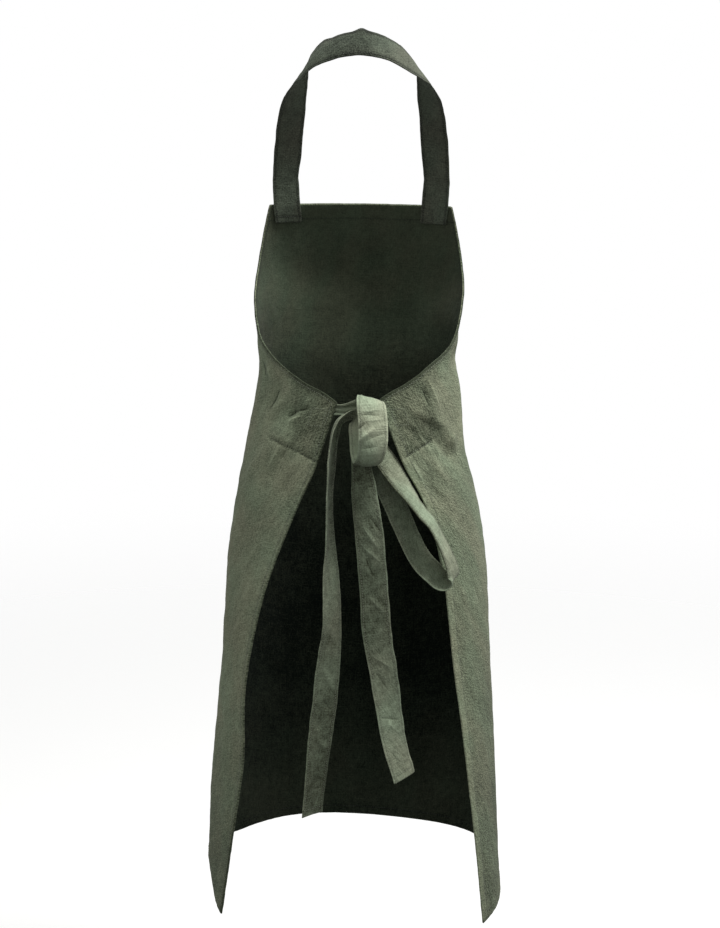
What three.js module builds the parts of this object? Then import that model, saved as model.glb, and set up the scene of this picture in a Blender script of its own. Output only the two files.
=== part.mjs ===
// A linen apron in its worn form: bib and skirt in one wrapped panel, a neck strap round the
// nape and two waist ties in a drooping bow at the back. Millimetres, +Z up. The origin is the
// middle of the neck strap at the nape, +X is the wearer's right and +Y the wearer's front.
import * as THREE from 'three';

// Driving sizes of the cloth and of the seams.
const panelThickness = 1.6;
const bandThickness = 1.8;
const bandWidth = 35;
const sewnRows = 3;

// The strap's sewn end, as places round the body and down the panel's table.
const strapSeamGap = 0.5;
const strapInnerRound = 0.34;
const strapOuterRound = 0.53;
const strapSeamTop = 0.04;
const strapSeamEnd = 0.34;

// The ties' sewn ends: the table row of their corner, how far below it their upper edge lies,
// the places round the body where a tie leaves the panel and where it ends inside it, and the
// share of its width that is left where it leaves, gathered towards the knot.
const tieSeamGap = 1.2;
const tieCorner = 6;
const tieSeamBelowCorner = 0.05;
const tieSeamLeaves = 1.985;
const tieSeamEnds = 1.825;
const tieSeamGathered = 0.4;

// How finely the panel and the bands are faceted.
const rowsPerSection = 3;
const columnsPerHalf = 20;
const stepsPerBandRow = 4;

// Steps, in places of a table, over which the slope of a surface or a band is taken.
const surfaceStep = 0.01;
const bandStep = 0.05;

// Colour and roughness of the linen; the doubled bands catch the light differently.
const panelColour = 0x5d6b55;
const strapColour = 0x55634f;
const tieColour = 0x64725b;
const linenRoughness = 0.92;

// How the columns spread over the half panel: under 1 they are closer at the centre front.
const centreSpacing = 0.4;

// Roundness of the front of a section: 2 is an ellipse, more is squarer.
const frontRoundness = 2.1;

// Length of cloth, round the body, for one unit of the round place used in the tables below.
const girthStep = 150;

// Panel sections, from the top edge of the bib to the hem. leftSide and rightSide are the half
// widths, sideY and frontY the depths of the widest point and of the centre front, and wrap is
// how many degrees the section turns behind its widest point on its way to the back edge.
const panelSections = [
  { z: -205, leftSide: 150, rightSide: 150, sideY: 80, frontY: 178, wrap: 78 },
  { z: -285, leftSide: 140, rightSide: 140, sideY: 88, frontY: 212, wrap: 78 },
  { z: -344, leftSide: 130, rightSide: 125, sideY: 90, frontY: 204, wrap: 78 },
  { z: -372, leftSide: 128, rightSide: 123, sideY: 90, frontY: 196, wrap: 78 },
  { z: -390, leftSide: 126, rightSide: 121, sideY: 90, frontY: 191, wrap: 78 },
  { z: -408, leftSide: 126, rightSide: 122, sideY: 89, frontY: 188, wrap: 78 },
  { z: -430, leftSide: 129, rightSide: 126, sideY: 88, frontY: 187, wrap: 78 },
  { z: -500, leftSide: 142, rightSide: 133, sideY: 86, frontY: 188, wrap: 70 },
  { z: -560, leftSide: 154, rightSide: 150, sideY: 84, frontY: 190, wrap: 62 },
  { z: -650, leftSide: 166, rightSide: 165, sideY: 82, frontY: 193, wrap: 50 },
  { z: -760, leftSide: 173, rightSide: 173, sideY: 80, frontY: 197, wrap: 40 },
  { z: -860, leftSide: 180, rightSide: 181, sideY: 80, frontY: 200, wrap: 34 },
  { z: -960, leftSide: 187, rightSide: 188, sideY: 80, frontY: 203, wrap: 28 },
  { z: -1060, leftSide: 190, rightSide: 194, sideY: 82, frontY: 206, wrap: 24 },
];

// Edges of the panel at the same sections. leftX, rightX and backY place the back edges,
// leftReach and rightReach are how far the cloth goes round (1 is the side, 2 the back edge, and
// more is cut off there), and leftDrop and rightDrop how much lower the back edges hang.
const panelEdges = [
  { leftX: 27, rightX: 26, backY: -5, leftReach: 0.55, rightReach: 0.55, leftDrop: 0, rightDrop: 0 },
  { leftX: 22, rightX: 21, backY: -5, leftReach: 0.76, rightReach: 0.76, leftDrop: 0, rightDrop: 0 },
  { leftX: 12, rightX: 10, backY: -5, leftReach: 1.05, rightReach: 1.05, leftDrop: 0, rightDrop: 0 },
  { leftX: 8, rightX: 5, backY: -5, leftReach: 1.29, rightReach: 1.32, leftDrop: 0, rightDrop: 0 },
  { leftX: 13, rightX: 11, backY: -5, leftReach: 1.48, rightReach: 1.55, leftDrop: 0, rightDrop: 0 },
  { leftX: 19, rightX: 17, backY: -5, leftReach: 1.71, rightReach: 1.76, leftDrop: 0, rightDrop: 0 },
  { leftX: 27, rightX: 26, backY: -6, leftReach: 2.00, rightReach: 2.03, leftDrop: 0, rightDrop: 0 },
  { leftX: 51, rightX: 54, backY: -15, leftReach: 2.60, rightReach: 2.60, leftDrop: 6, rightDrop: 0 },
  { leftX: 80, rightX: 85, backY: -16, leftReach: 2.60, rightReach: 2.60, leftDrop: 14, rightDrop: 0 },
  { leftX: 116, rightX: 108, backY: -14, leftReach: 2.60, rightReach: 2.60, leftDrop: 24, rightDrop: 0 },
  { leftX: 139, rightX: 122, backY: -15, leftReach: 2.60, rightReach: 2.60, leftDrop: 32, rightDrop: 0 },
  { leftX: 142, rightX: 138, backY: -18, leftReach: 2.60, rightReach: 2.60, leftDrop: 34, rightDrop: 8 },
  { leftX: 156, rightX: 153, backY: -24, leftReach: 2.60, rightReach: 2.60, leftDrop: 36, rightDrop: 24 },
  { leftX: 170, rightX: 166, backY: -30, leftReach: 2.60, rightReach: 2.60, leftDrop: 37, rightDrop: 47 },
];

// Where the drop towards each back edge begins and ends, as places round the body.
const leftDropStart = 0.9;
const leftDropEnd = 2;
const rightDropStart = 0.1;
const rightDropEnd = 2.2;

// Main folds of the panel. Each runs between two places, given as the place round the body
// (negative on the left) and the height, and pushes the cloth out by depth, or in where it is
// negative, fading over the half width.
const panelFolds = [
  { round0: 1.66, z0: -440, depth0: 3, round1: 1.42, z1: -482, depth1: 5, halfWidth: 14 },
  { round0: 1.66, z0: -462, depth0: -2, round1: 1.50, z1: -498, depth1: -4, halfWidth: 12 },
  { round0: 1.62, z0: -407, depth0: 3, round1: 1.58, z1: -436, depth1: 2, halfWidth: 11 },
  { round0: 1.12, z0: -402, depth0: 3, round1: 1.18, z1: -520, depth1: 3, halfWidth: 16 },
  { round0: 1.08, z0: -384, depth0: -4, round1: 1.10, z1: -392, depth1: -3, halfWidth: 13 },
  { round0: -1.35, z0: -440, depth0: -3, round1: -1.50, z1: -424, depth1: -3, halfWidth: 11 },
  { round0: -1.50, z0: -456, depth0: -4, round1: -1.66, z1: -442, depth1: -3, halfWidth: 11 },
  { round0: -1.66, z0: -476, depth0: 3, round1: -1.40, z1: -520, depth1: 4, halfWidth: 15 },
  { round0: 1.60, z0: -920, depth0: 0, round1: 1.62, z1: -1060, depth1: 5, halfWidth: 55 },
  { round0: -0.98, z0: -760, depth0: 0, round1: -0.98, z1: -1060, depth1: 5, halfWidth: 45 },
  { round0: -0.62, z0: -700, depth0: 0, round1: -0.66, z1: -1060, depth1: -7, halfWidth: 34 },
  { round0: -0.24, z0: -640, depth0: 0, round1: -0.22, z1: -1060, depth1: 6, halfWidth: 36 },
  { round0: 0.20, z0: -700, depth0: 0, round1: 0.22, z1: -1060, depth1: -5, halfWidth: 32 },
  { round0: 0.58, z0: -640, depth0: 0, round1: 0.62, z1: -1060, depth1: 7, halfWidth: 38 },
  { round0: 0.92, z0: -760, depth0: 0, round1: 0.94, z1: -1060, depth1: -5, halfWidth: 34 },
];

// The neck strap, from above the right corner of the bib, over the nape, to the left corner. In
// this table and those of the ties, the across columns point to the band's upper edge, width is
// what is left of it where it is gathered, and crown is how far its middle bulges out.
const strapRows = [
  { x: 96, y: 147, z: -172, acrossX: -0.90, acrossY: 0.42, acrossZ: 0.05, width: bandWidth, crown: 0 },
  { x: 91, y: 128, z: -122, acrossX: -0.95, acrossY: 0.26, acrossZ: 0.12, width: bandWidth, crown: 0 },
  { x: 84, y: 93, z: -74, acrossX: -0.86, acrossY: 0.42, acrossZ: 0.26, width: bandWidth, crown: 0 },
  { x: 76, y: 66, z: -46, acrossX: -0.50, acrossY: 0.78, acrossZ: 0.36, width: bandWidth, crown: 1 },
  { x: 67, y: 48, z: -34, acrossX: -0.12, acrossY: 0.93, acrossZ: 0.34, width: bandWidth, crown: 1.5 },
  { x: 58, y: 36, z: -26, acrossX: -0.06, acrossY: 0.84, acrossZ: 0.54, width: bandWidth, crown: 1.5 },
  { x: 46, y: 21, z: -17, acrossX: -0.03, acrossY: 0.72, acrossZ: 0.69, width: bandWidth, crown: 1 },
  { x: 30, y: 9, z: -8, acrossX: -0.02, acrossY: 0.60, acrossZ: 0.80, width: bandWidth, crown: 1 },
  { x: 14, y: 2, z: -3, acrossX: 0.00, acrossY: 0.52, acrossZ: 0.85, width: bandWidth, crown: 1 },
  { x: -1, y: 0, z: -1, acrossX: 0.00, acrossY: 0.50, acrossZ: 0.87, width: bandWidth, crown: 1 },
  { x: -14, y: 2, z: -2.5, acrossX: 0.00, acrossY: 0.52, acrossZ: 0.85, width: bandWidth, crown: 1 },
  { x: -30, y: 8, z: -6, acrossX: 0.02, acrossY: 0.58, acrossZ: 0.82, width: bandWidth, crown: 1 },
  { x: -47, y: 21, z: -13, acrossX: 0.03, acrossY: 0.66, acrossZ: 0.75, width: bandWidth, crown: 1 },
  { x: -60, y: 36, z: -23, acrossX: 0.08, acrossY: 0.80, acrossZ: 0.60, width: bandWidth, crown: 1.5 },
  { x: -68, y: 49, z: -34, acrossX: 0.14, acrossY: 0.93, acrossZ: 0.34, width: bandWidth, crown: 1.5 },
  { x: -76, y: 66, z: -47, acrossX: 0.50, acrossY: 0.78, acrossZ: 0.36, width: bandWidth, crown: 1 },
  { x: -84, y: 93, z: -74, acrossX: 0.86, acrossY: 0.42, acrossZ: 0.26, width: bandWidth, crown: 0 },
  { x: -91, y: 128, z: -122, acrossX: 0.95, acrossY: 0.26, acrossZ: 0.12, width: bandWidth, crown: 0 },
  { x: -96, y: 147, z: -172, acrossX: 0.90, acrossY: 0.42, acrossZ: 0.05, width: bandWidth, crown: 0 },
];

// Left tie from its corner: lead, knot, short loop down the front and up the back, knot, tail.
const leftTieRows = [
  { x: -18, y: -10, z: -438, acrossX: 0.10, acrossY: 0.10, acrossZ: 1.00, width: 14, crown: 2 },
  { x: -9, y: -13, z: -435, acrossX: -0.20, acrossY: 0.10, acrossZ: 0.95, width: 14, crown: 3 },
  { x: 3, y: -14, z: -432, acrossX: -0.70, acrossY: 0.00, acrossZ: 0.70, width: 19, crown: 3 },
  { x: 12, y: -16, z: -427, acrossX: -0.98, acrossY: 0.00, acrossZ: 0.25, width: 28, crown: 2 },
  { x: 14, y: -23, z: -422, acrossX: -0.97, acrossY: 0.00, acrossZ: 0.26, width: 33, crown: 1 },
  { x: 15, y: -33, z: -428, acrossX: -0.97, acrossY: 0.00, acrossZ: 0.24, width: bandWidth, crown: 1 },
  { x: 17, y: -42, z: -445, acrossX: -0.99, acrossY: 0.00, acrossZ: 0.14, width: bandWidth, crown: 1.5 },
  { x: 18, y: -47, z: -463, acrossX: -1.00, acrossY: 0.05, acrossZ: 0.08, width: bandWidth, crown: 3 },
  { x: 16.5, y: -47, z: -481, acrossX: -1.00, acrossY: 0.05, acrossZ: 0.02, width: 34, crown: 5 },
  { x: 13.5, y: -41, z: -494, acrossX: -1.00, acrossY: 0.00, acrossZ: 0.00, width: 32, crown: 5 },
  { x: 10.5, y: -31, z: -498, acrossX: -1.00, acrossY: 0.00, acrossZ: 0.00, width: 31, crown: 5 },
  { x: 7, y: -24, z: -491, acrossX: -1.00, acrossY: 0.00, acrossZ: 0.00, width: 31, crown: 2 },
  { x: 5, y: -21.5, z: -480, acrossX: -1.00, acrossY: 0.00, acrossZ: 0.04, width: 31, crown: 0 },
  { x: 3, y: -20, z: -458, acrossX: -1.00, acrossY: 0.00, acrossZ: 0.06, width: 30, crown: 0 },
  { x: 0, y: -19.5, z: -446, acrossX: -0.94, acrossY: 0.00, acrossZ: -0.30, width: 22, crown: 1 },
  { x: -7, y: -19, z: -443, acrossX: -0.30, acrossY: 0.40, acrossZ: -0.85, width: 15, crown: 3 },
  { x: -15, y: -21, z: -446, acrossX: 0.05, acrossY: 0.80, acrossZ: -0.60, width: 19, crown: 4 },
  { x: -22.5, y: -23, z: -452, acrossX: 0.15, acrossY: 0.90, acrossZ: -0.40, width: 24, crown: 4 },
  { x: -27, y: -24, z: -464, acrossX: 0.28, acrossY: 0.94, acrossZ: -0.15, width: 28, crown: 4 },
  { x: -30, y: -25, z: -480, acrossX: 0.29, acrossY: 0.96, acrossZ: 0.00, width: 31, crown: 3 },
  { x: -32, y: -27, z: -508, acrossX: 0.25, acrossY: 0.96, acrossZ: 0.00, width: 34, crown: 3 },
  { x: -34, y: -32, z: -547, acrossX: 0.20, acrossY: 0.98, acrossZ: 0.00, width: bandWidth, crown: 2.5 },
  { x: -33, y: -39, z: -595, acrossX: 0.28, acrossY: 0.96, acrossZ: 0.00, width: bandWidth, crown: 2 },
  { x: -32, y: -43, z: -640, acrossX: 0.53, acrossY: 0.85, acrossZ: 0.00, width: bandWidth, crown: 2 },
  { x: -30, y: -45, z: -696, acrossX: 0.65, acrossY: 0.76, acrossZ: 0.00, width: bandWidth, crown: 2 },
  { x: -34, y: -45, z: -748, acrossX: 0.81, acrossY: 0.58, acrossZ: 0.00, width: bandWidth, crown: 1.5 },
  { x: -39, y: -44, z: -805, acrossX: 0.88, acrossY: 0.47, acrossZ: 0.00, width: bandWidth, crown: 1 },
  { x: -47, y: -43, z: -880, acrossX: 0.79, acrossY: 0.61, acrossZ: 0.00, width: bandWidth, crown: 1 },
  { x: -54, y: -42, z: -954, acrossX: 0.70, acrossY: 0.71, acrossZ: 0.15, width: bandWidth, crown: 1 },
];

// Right tie from its corner: lead, long loop out to the right and back, knot, centre tail.
const rightTieRows = [
  { x: 19, y: -8, z: -441, acrossX: -0.20, acrossY: 0.00, acrossZ: 0.97, width: 18, crown: 0 },
  { x: 12, y: -11, z: -458, acrossX: -0.90, acrossY: 0.00, acrossZ: 0.40, width: 20, crown: 2 },
  { x: 18, y: -13, z: -477, acrossX: -0.90, acrossY: -0.25, acrossZ: -0.30, width: 22, crown: 2 },
  { x: 32, y: -17, z: -497, acrossX: -0.66, acrossY: -0.60, acrossZ: -0.45, width: 29, crown: 3 },
  { x: 47, y: -25, z: -518, acrossX: -0.46, acrossY: -0.80, acrossZ: -0.36, width: 33, crown: 3 },
  { x: 63, y: -32, z: -539, acrossX: -0.30, acrossY: -0.93, acrossZ: -0.22, width: bandWidth, crown: 2 },
  { x: 78, y: -35, z: -559, acrossX: -0.22, acrossY: -0.96, acrossZ: -0.16, width: bandWidth, crown: 1 },
  { x: 91, y: -36.5, z: -574, acrossX: -0.20, acrossY: -0.965, acrossZ: -0.15, width: bandWidth, crown: 1 },
  { x: 101, y: -37, z: -592, acrossX: -0.22, acrossY: -0.96, acrossZ: -0.14, width: bandWidth, crown: 1 },
  { x: 110, y: -37, z: -611, acrossX: -0.28, acrossY: -0.94, acrossZ: -0.16, width: bandWidth, crown: 1 },
  { x: 118, y: -37.5, z: -634, acrossX: -0.38, acrossY: -0.89, acrossZ: -0.24, width: bandWidth, crown: 1 },
  { x: 117, y: -38, z: -644, acrossX: -0.42, acrossY: -0.86, acrossZ: -0.28, width: bandWidth, crown: 1 },
  { x: 106, y: -38, z: -646, acrossX: -0.44, acrossY: -0.83, acrossZ: -0.34, width: bandWidth, crown: 1 },
  { x: 93, y: -36, z: -635, acrossX: -0.50, acrossY: -0.77, acrossZ: -0.40, width: bandWidth, crown: 1 },
  { x: 79, y: -32, z: -621, acrossX: -0.54, acrossY: -0.73, acrossZ: -0.42, width: bandWidth, crown: 1.5 },
  { x: 66, y: -27, z: -598, acrossX: -0.55, acrossY: -0.72, acrossZ: -0.42, width: bandWidth, crown: 2 },
  { x: 52, y: -20, z: -568, acrossX: -0.60, acrossY: -0.68, acrossZ: -0.42, width: 34, crown: 2 },
  { x: 38, y: -13.5, z: -537, acrossX: -0.70, acrossY: -0.58, acrossZ: -0.42, width: 32, crown: 2 },
  { x: 25, y: -8, z: -508, acrossX: -0.88, acrossY: -0.30, acrossZ: -0.36, width: 27, crown: 2 },
  { x: 12, y: -5, z: -478, acrossX: -0.97, acrossY: 0.00, acrossZ: -0.22, width: 23, crown: 2 },
  { x: 4, y: -5, z: -458, acrossX: -1.00, acrossY: 0.00, acrossZ: -0.08, width: 18, crown: 2 },
  { x: 2, y: -9.5, z: -452, acrossX: -1.00, acrossY: 0.00, acrossZ: 0.00, width: 17, crown: 2 },
  { x: 1, y: -13, z: -459, acrossX: -1.00, acrossY: 0.00, acrossZ: 0.08, width: 18, crown: 2 },
  { x: 3, y: -14, z: -480, acrossX: -1.00, acrossY: 0.00, acrossZ: 0.00, width: 22, crown: 2 },
  { x: 5, y: -17, z: -508, acrossX: -0.97, acrossY: 0.25, acrossZ: 0.00, width: 25, crown: 2.5 },
  { x: 9, y: -27, z: -547, acrossX: -0.90, acrossY: 0.42, acrossZ: 0.00, width: bandWidth, crown: 3 },
  { x: 16, y: -38, z: -601, acrossX: -0.98, acrossY: 0.20, acrossZ: 0.00, width: bandWidth, crown: 2.5 },
  { x: 22, y: -43, z: -670, acrossX: -1.00, acrossY: 0.00, acrossZ: 0.00, width: bandWidth, crown: 1.5 },
  { x: 25, y: -44, z: -710, acrossX: -1.00, acrossY: -0.05, acrossZ: 0.00, width: bandWidth, crown: 1 },
  { x: 35, y: -44, z: -769, acrossX: -0.95, acrossY: -0.28, acrossZ: -0.12, width: bandWidth, crown: 1 },
  { x: 43, y: -43, z: -822, acrossX: -0.84, acrossY: -0.48, acrossZ: -0.20, width: bandWidth, crown: 1 },
  { x: 51, y: -42, z: -862, acrossX: -0.76, acrossY: -0.58, acrossZ: -0.28, width: bandWidth, crown: 1 },
  { x: 62, y: -41, z: -903, acrossX: -0.62, acrossY: -0.62, acrossZ: -0.48, width: bandWidth, crown: 1 },
];

// Even values from one end to the other, both ends included.
function spread(from, to, steps) {
  return Array.from({ length: steps + 1 }, (_, i) => THREE.MathUtils.lerp(from, to, i / steps));
}

// The row of a table at a place between its rows, every column on a smooth curve.
function rowAt(table, place) {
  const start = Math.min(Math.floor(place), table.length - 2);
  const t = place - start;
  const near = [-1, 0, 1, 2].map((k) => table[THREE.MathUtils.clamp(start + k, 0, table.length - 1)]);
  const row = {};
  for (const name of Object.keys(table[0])) {
    const [before, from, to, after] = near.map((entry) => entry[name]);
    const slopeFrom = (to - before) / 2;
    const slopeTo = (after - from) / 2;
    const bend = 3 * (to - from) - 2 * slopeFrom - slopeTo;
    const twist = 2 * (from - to) + slopeFrom + slopeTo;
    row[name] = from + t * (slopeFrom + t * (bend + t * twist));
  }
  return row;
}

// How far the folds push the cloth out at a place round the body and a height.
function foldPush(round, z) {
  const here = new THREE.Vector3(round * girthStep, z, 0);
  const nearest = new THREE.Vector3();
  let push = 0;
  for (const fold of panelFolds) {
    const start = new THREE.Vector3(fold.round0 * girthStep, fold.z0, 0);
    const end = new THREE.Vector3(fold.round1 * girthStep, fold.z1, 0);
    const line = new THREE.Line3(start, end);
    const along = line.closestPointToPointParameter(here, true);
    const away = line.at(along, nearest).distanceTo(here) / fold.halfWidth;
    push += THREE.MathUtils.lerp(fold.depth0, fold.depth1, along) * Math.exp(-away * away);
  }
  return push;
}

// A point of the panel's middle surface: round is the place round the body, place the table row.
function panelPoint(round, place) {
  const section = rowAt(panelSections, place);
  const edge = rowAt(panelEdges, place);
  const onLeft = round < 0;
  const front = Math.min(Math.abs(round), 1) * (Math.PI / 2);
  const behind = Math.max(Math.abs(round) - 1, 0);
  const turn = THREE.MathUtils.degToRad(section.wrap);
  const edgeX = onLeft ? edge.leftX : edge.rightX;
  const widest = onLeft ? section.leftSide : section.rightSide;
  const power = 2 / frontRoundness;
  let x = widest * Math.sin(front) ** power;
  let y = section.sideY + (section.frontY - section.sideY) * Math.max(Math.cos(front), 0) ** power;
  if (behind > 0) {
    x -= ((widest - edgeX) * (1 - Math.cos(behind * turn))) / (1 - Math.cos(turn));
    y = section.sideY - ((section.sideY - edge.backY) * Math.sin(behind * turn)) / Math.sin(turn);
  }
  const leftShare = THREE.MathUtils.smoothstep(-round, leftDropStart, leftDropEnd);
  const rightShare = THREE.MathUtils.smoothstep(round, rightDropStart, rightDropEnd);
  const z = section.z - edge.leftDrop * leftShare - edge.rightDrop * rightShare;
  const signedX = onLeft ? -x : x;
  const outward = new THREE.Vector3(signedX, y - section.sideY, 0).normalize();
  return new THREE.Vector3(signedX, y, z).addScaledVector(outward, foldPush(round, section.z));
}

// A point lying on the inside of the panel, where a band is sewn to it.
function sewnPoint(round, place, gap) {
  const point = panelPoint(round, place);
  const across = panelPoint(round + surfaceStep, place).sub(panelPoint(round - surfaceStep, place));
  const down = panelPoint(round, place + surfaceStep).sub(panelPoint(round, place - surfaceStep));
  const inset = panelThickness / 2 + gap + bandThickness / 2;
  return point.addScaledVector(across.cross(down).normalize(), -inset);
}

// A closed cloth wall round a grid of points on its middle surface.
function clothWall(rows, thickness) {
  const columns = rows[0].length;
  const lastRow = rows.length - 1;
  const lastColumn = columns - 1;
  const innerStart = rows.length * columns;
  const pointAt = (i, j) => {
    const row = rows[THREE.MathUtils.clamp(i, 0, lastRow)];
    return row[THREE.MathUtils.clamp(j, 0, lastColumn)];
  };
  const positions = [];
  for (const side of [0.5, -0.5]) {
    rows.forEach((row, i) => row.forEach((point, j) => {
      const across = pointAt(i, j + 1).clone().sub(pointAt(i, j - 1));
      const along = pointAt(i + 1, j).clone().sub(pointAt(i - 1, j));
      const normal = across.cross(along).normalize();
      positions.push(...point.clone().addScaledVector(normal, side * thickness).toArray());
    }));
  }
  const index = [];
  const quad = (a, b, c, d) => index.push(a, b, c, a, c, d);
  const mirroredQuad = (a, b, c, d) => index.push(a, b, d, b, c, d);
  for (let i = 0; i < lastRow; i += 1) {
    for (let j = 0; j < lastColumn; j += 1) {
      const a = i * columns + j;
      const d = a + columns;
      const face = j < lastColumn / 2 ? quad : mirroredQuad;
      face(a, a + 1, d + 1, d);
      face(innerStart + a, innerStart + d, innerStart + d + 1, innerStart + a + 1);
    }
    const left = i * columns;
    const right = left + lastColumn;
    quad(left, left + columns, innerStart + left + columns, innerStart + left);
    quad(innerStart + right, innerStart + right + columns, right + columns, right);
  }
  for (let j = 0; j < lastColumn; j += 1) {
    const bottom = lastRow * columns + j;
    quad(innerStart + j, innerStart + j + 1, j + 1, j);
    quad(bottom, bottom + 1, innerStart + bottom + 1, innerStart + bottom);
  }
  const geometry = new THREE.BufferGeometry();
  geometry.setAttribute('position', new THREE.Float32BufferAttribute(positions, 3));
  geometry.setIndex(index);
  geometry.computeVertexNormals();
  return geometry;
}

// The lower, middle and upper points of a band at each step along its table.
function bandGrid(table) {
  const last = table.length - 1;
  const centreAt = (place) => {
    const row = rowAt(table, THREE.MathUtils.clamp(place, 0, last));
    return new THREE.Vector3(row.x, row.y, row.z);
  };
  return spread(0, last, last * stepsPerBandRow).map((place) => {
    const row = rowAt(table, place);
    const along = centreAt(place + bandStep).sub(centreAt(place - bandStep)).normalize();
    const across = new THREE.Vector3(row.acrossX, row.acrossY, row.acrossZ);
    across.addScaledVector(along, -across.dot(along)).setLength(row.width / 2);
    const outward = across.clone().cross(along).normalize();
    const middle = centreAt(place).addScaledVector(outward, row.crown);
    return [centreAt(place).sub(across), middle, centreAt(place).add(across)];
  });
}

// The panel as a grid of rows from the bib to the hem.
function panelGrid() {
  const last = panelSections.length - 1;
  return spread(0, last, last * rowsPerSection).map((place) => {
    const edge = rowAt(panelEdges, place);
    return spread(-1, 1, 2 * columnsPerHalf).map((share) => {
      const reach = Math.min(share < 0 ? edge.leftReach : edge.rightReach, 2);
      const spacing = centreSpacing + (1 - centreSpacing) * Math.abs(share);
      return panelPoint(reach * share * spacing, place);
    });
  });
}

// The sewn end of a tie inside an upper back corner, from its end out to the panel's edge.
function tieSeam(side) {
  const bandShare = bandWidth / (panelSections[tieCorner].z - panelSections[tieCorner + 1].z);
  const top = tieCorner + tieSeamBelowCorner;
  return spread(tieSeamEnds, tieSeamLeaves, sewnRows).map((round, i) => {
    const span = bandShare * THREE.MathUtils.lerp(1, tieSeamGathered, i / sewnRows);
    return spread(top + span, top, 2).map((place) => sewnPoint(side * round, place, tieSeamGap));
  });
}

// The sewn end of the strap inside a top corner of the bib, from its end to the top edge.
function strapSeam(side) {
  const rounds = spread(strapOuterRound, strapInnerRound, 2);
  return spread(strapSeamEnd, strapSeamTop, sewnRows)
    .map((place) => rounds.map((round) => sewnPoint(side * round, place, strapSeamGap)));
}

// One named piece of cloth with its own finish.
function clothPiece(name, grid, thickness, colour) {
  const finish = { color: colour, roughness: linenRoughness, metalness: 0 };
  const material = new THREE.MeshStandardMaterial(finish);
  const mesh = new THREE.Mesh(clothWall(grid, thickness), material);
  mesh.name = name;
  return mesh;
}

const apron = new THREE.Group();
apron.name = 'apron';
const strapGrid = [...strapSeam(1), ...bandGrid(strapRows), ...strapSeam(-1).reverse()];
const leftTieGrid = [...tieSeam(-1), ...bandGrid(leftTieRows)];
const rightTieGrid = [...tieSeam(1), ...bandGrid(rightTieRows)];
apron.add(clothPiece('apron_panel', panelGrid(), panelThickness, panelColour));
apron.add(clothPiece('neck_strap', strapGrid, bandThickness, strapColour));
apron.add(clothPiece('tie_left', leftTieGrid, bandThickness, tieColour));
apron.add(clothPiece('tie_right', rightTieGrid, bandThickness, tieColour));

export default apron;
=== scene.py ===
import math
import bpy
import numpy as np
from mathutils import Matrix, Vector, kdtree, noise


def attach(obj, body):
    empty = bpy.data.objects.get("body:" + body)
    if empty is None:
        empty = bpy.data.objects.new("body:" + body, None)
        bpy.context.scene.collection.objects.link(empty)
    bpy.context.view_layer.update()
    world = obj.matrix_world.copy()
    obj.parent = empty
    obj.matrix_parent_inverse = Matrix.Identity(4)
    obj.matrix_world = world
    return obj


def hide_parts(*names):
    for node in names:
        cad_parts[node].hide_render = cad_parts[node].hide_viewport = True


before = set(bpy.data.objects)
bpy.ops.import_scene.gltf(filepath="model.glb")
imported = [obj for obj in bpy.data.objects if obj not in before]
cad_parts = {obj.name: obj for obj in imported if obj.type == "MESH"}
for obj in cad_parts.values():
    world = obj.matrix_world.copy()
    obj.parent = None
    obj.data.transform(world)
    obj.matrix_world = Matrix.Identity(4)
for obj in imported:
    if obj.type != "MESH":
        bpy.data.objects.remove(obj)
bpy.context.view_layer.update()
mm = 0.001  # sizes are in millimetres, meshes in metres
print("frame loaded:", ", ".join(sorted(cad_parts)))


# small helpers

def readTable(columns, rows):  # named columns, each one array
    return dict(zip(columns.split(), np.array(rows, float).T))


def along(table, places):  # every column on a smooth curve through its rows
    count = len(next(iter(table.values())))
    start = np.clip(np.floor(places).astype(int), 0, count - 2)
    t = places - start
    near = [np.clip(start + k, 0, count - 1) for k in (-1, 0, 1, 2)]
    found = {}
    for name, column in table.items():
        before, here, there, after = (column[i] for i in near)
        slopeHere, slopeThere = (there - before) / 2, (after - here) / 2
        bend = 3 * (there - here) - 2 * slopeHere - slopeThere
        twist = 2 * (here - there) + slopeHere + slopeThere
        found[name] = here + t * (slopeHere + t * (bend + t * twist))
    return found


def smooth(x):  # soft step from 0 to 1
    x = np.clip(x, 0, 1)
    return x * x * (3 - 2 * x)


def unit(v):
    return v / np.maximum(np.linalg.norm(v, axis=-1, keepdims=True), 1e-9)


def gridNormals(points):
    return unit(np.cross(np.gradient(points, axis=1), np.gradient(points, axis=0)))


def running(points, axis):  # length along the grid lines, from the first point
    steps = np.linalg.norm(np.diff(points, axis=axis), axis=-1)
    lengths = np.cumsum(steps, axis=axis)
    return np.concatenate([np.zeros_like(np.take(lengths, [0], axis)), lengths], axis)


def rumple(u, v, scaleU, scaleV, seed):  # smooth noise over the cloth, about -1 to 1
    flat = [noise.noise((a, b, seed)) for a, b in zip((u / scaleU).ravel(), (v / scaleV).ravel())]
    return np.array(flat).reshape(u.shape)


def between(places, stations, values):  # every column of values, read off along a line
    return np.stack([np.interp(places, stations, column) for column in values.T], 1)


def treeOf(points):  # to find the nearest of these points
    tree = kdtree.KDTree(len(points))
    for i, p in enumerate(points):
        tree.insert(p, i)
    tree.balance()
    return tree


def distanceTo(points, line):  # from every grid point to a boundary line
    steps = np.arange(0, len(line) - 1, 0.25)
    tree = treeOf(between(steps, np.arange(len(line)), line))
    flat = [tree.find(p)[2] for p in points.reshape(-1, 3)]
    return np.array(flat).reshape(points.shape[:-1])


def nearSegment(a, b, start, end):  # place along a straight line, and the distance from it
    (a0, b0), (a1, b1) = start, end
    runA, runB = a1 - a0, b1 - b0
    t = np.clip(((a - a0) * runA + (b - b0) * runB) / (runA ** 2 + runB ** 2), 0, 1)
    return t, np.hypot(a - a0 - t * runA, b - b0 - t * runB)


# shader helpers

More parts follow.
